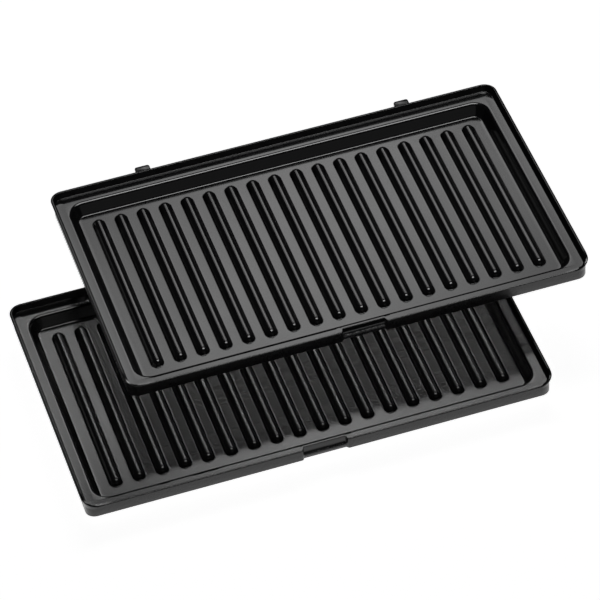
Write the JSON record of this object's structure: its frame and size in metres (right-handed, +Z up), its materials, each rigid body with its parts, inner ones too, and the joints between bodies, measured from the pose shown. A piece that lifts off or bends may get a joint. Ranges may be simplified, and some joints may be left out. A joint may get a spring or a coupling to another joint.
{
  "type": "removable grill plate set",
  "caption": "Removable ribbed non-stick grill plates of a panini press, each with a cooking well, drip rim, rear lugs and front latch pocket, one above the other.",
  "frame": {"origin": "bottom centre of the bounding box of both plates", "axes": "+X to the right along the plates' length, +Y to the back where the lugs are, +Z up out of the cooking face"},
  "size_m": [0.2958, 0.21, 0.0443],
  "materials": {
    "nonstick_lower": "die-cast aluminium with black semi-gloss non-stick coating",
    "nonstick_upper": "die-cast aluminium with black semi-gloss non-stick coating"
  },
  "bodies": {
    "lower": {"lower_plate": "nonstick_lower"},
    "upper": {"upper_plate": "nonstick_upper"}
  },
  "joints": [
    {"name": "upper_lift", "type": "slide", "parent": "lower", "child": "upper", "axis": [0, 0, 1], "range_m": [0, 0.08]}
  ]
}
